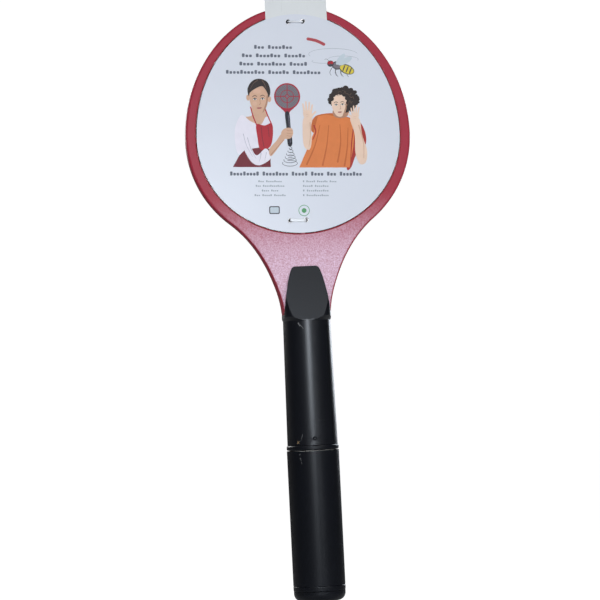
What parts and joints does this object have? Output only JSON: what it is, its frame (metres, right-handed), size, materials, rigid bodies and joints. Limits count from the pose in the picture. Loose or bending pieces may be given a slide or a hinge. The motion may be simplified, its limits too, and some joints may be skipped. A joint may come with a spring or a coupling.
{
  "type": "electric fly swatter",
  "caption": "Racket-shaped electric insect killer: red oval head with wire grilles and a display card, black round battery handle with button and mode slider.",
  "frame": {"origin": "centre of the handle's flat end", "axes": "+Z along the handle to the head's top, -Y out of the front with the card, +Y out of the back with the controls, +X to the right seen from the front"},
  "size_m": [0.1784, 0.0412, 0.5067],
  "materials": {
    "red_plastic": "spark-eroded gloss",
    "steel_mesh": "bright wire",
    "screw_steel": "zinc plated",
    "black_plastic": "moulded, satin gloss",
    "spacer_plastic": "natural",
    "button_red": "gloss",
    "switch_plastic": "moulded",
    "lamp": "clear red",
    "contact_metal": "nickel plated",
    "cell_jacket": "printed jacket",
    "board": "paper laminate",
    "component": "moulded",
    "magnet": "plated",
    "lead": "insulated wire",
    "card": "coated board",
    "tab": "paper",
    "tie": "plastic-covered wire and band"
  },
  "bodies": {
    "swatter": {"front_frame": "red_plastic", "back_frame": "red_plastic", "front_grille": "steel_mesh", "inner_grille": "steel_mesh", "back_grille": "steel_mesh", "front_spacer": "spacer_plastic", "back_spacer": "spacer_plastic", "frame_screws": "screw_steel", "front_handle_shell": "black_plastic", "back_handle_shell": "black_plastic", "handle_screws": "screw_steel", "button_switch": "switch_plastic", "mode_switch": "switch_plastic", "lamp_lens": "lamp", "indicator_lamp": "lamp", "battery_tube": "spacer_plastic", "negative_strip": "contact_metal", "bulkhead": "spacer_plastic", "positive_contact": "contact_metal", "upper_cell": "cell_jacket", "lower_cell": "cell_jacket", "circuit_board": "board", "transformer": "component", "storage_capacitor": "component", "rectifier_diodes": "component", "sound_chip": "component", "speaker": "component", "speaker_magnet": "magnet", "positive_lead": "lead", "negative_lead": "lead", "inner_grid_lead": "lead", "outer_grid_lead": "lead", "grille_link": "lead", "speaker_lead_left": "lead", "speaker_lead_right": "lead", "display_card": "card", "hang_tab": "tab", "upper_tie": "tie", "lower_tie": "tie"},
    "button": {"power_button": "button_red"},
    "plunger": {"button_plunger": "switch_plastic"},
    "slider": {"mode_knob": "button_red"},
    "ring": {"lock_ring": "black_plastic"},
    "cover": {"battery_cover": "black_plastic", "end_ring": "black_plastic", "end_cap": "black_plastic", "cover_spring": "contact_metal"}
  },
  "joints": [
    {"name": "button_press", "type": "slide", "parent": "swatter", "child": "button", "axis": [0, -1, 0], "range_m": [0, 0.001], "stiffness_N_per_m": 600, "springref_m": -0.001},
    {"name": "plunger_press", "type": "slide", "parent": "swatter", "child": "plunger", "axis": [0, -1, 0], "range_m": [0, 0.001]},
    {"name": "mode_slide", "type": "slide", "parent": "swatter", "child": "slider", "axis": [0, 0, 1], "range_m": [-0.002, 0.002]},
    {"name": "cover_twist", "type": "hinge", "parent": "swatter", "child": "ring", "pos_m": [0, 0, 0.121], "axis": [0, 0, 1], "range_deg": [0, 30]},
    {"name": "cover_pull", "type": "slide", "parent": "ring", "child": "cover", "axis": [0, 0, -1], "range_m": [0, 0.125]}
  ],
  "couplings": [
    {"joint": "plunger_press", "follows": "button_press", "ratio": 1}
  ]
}
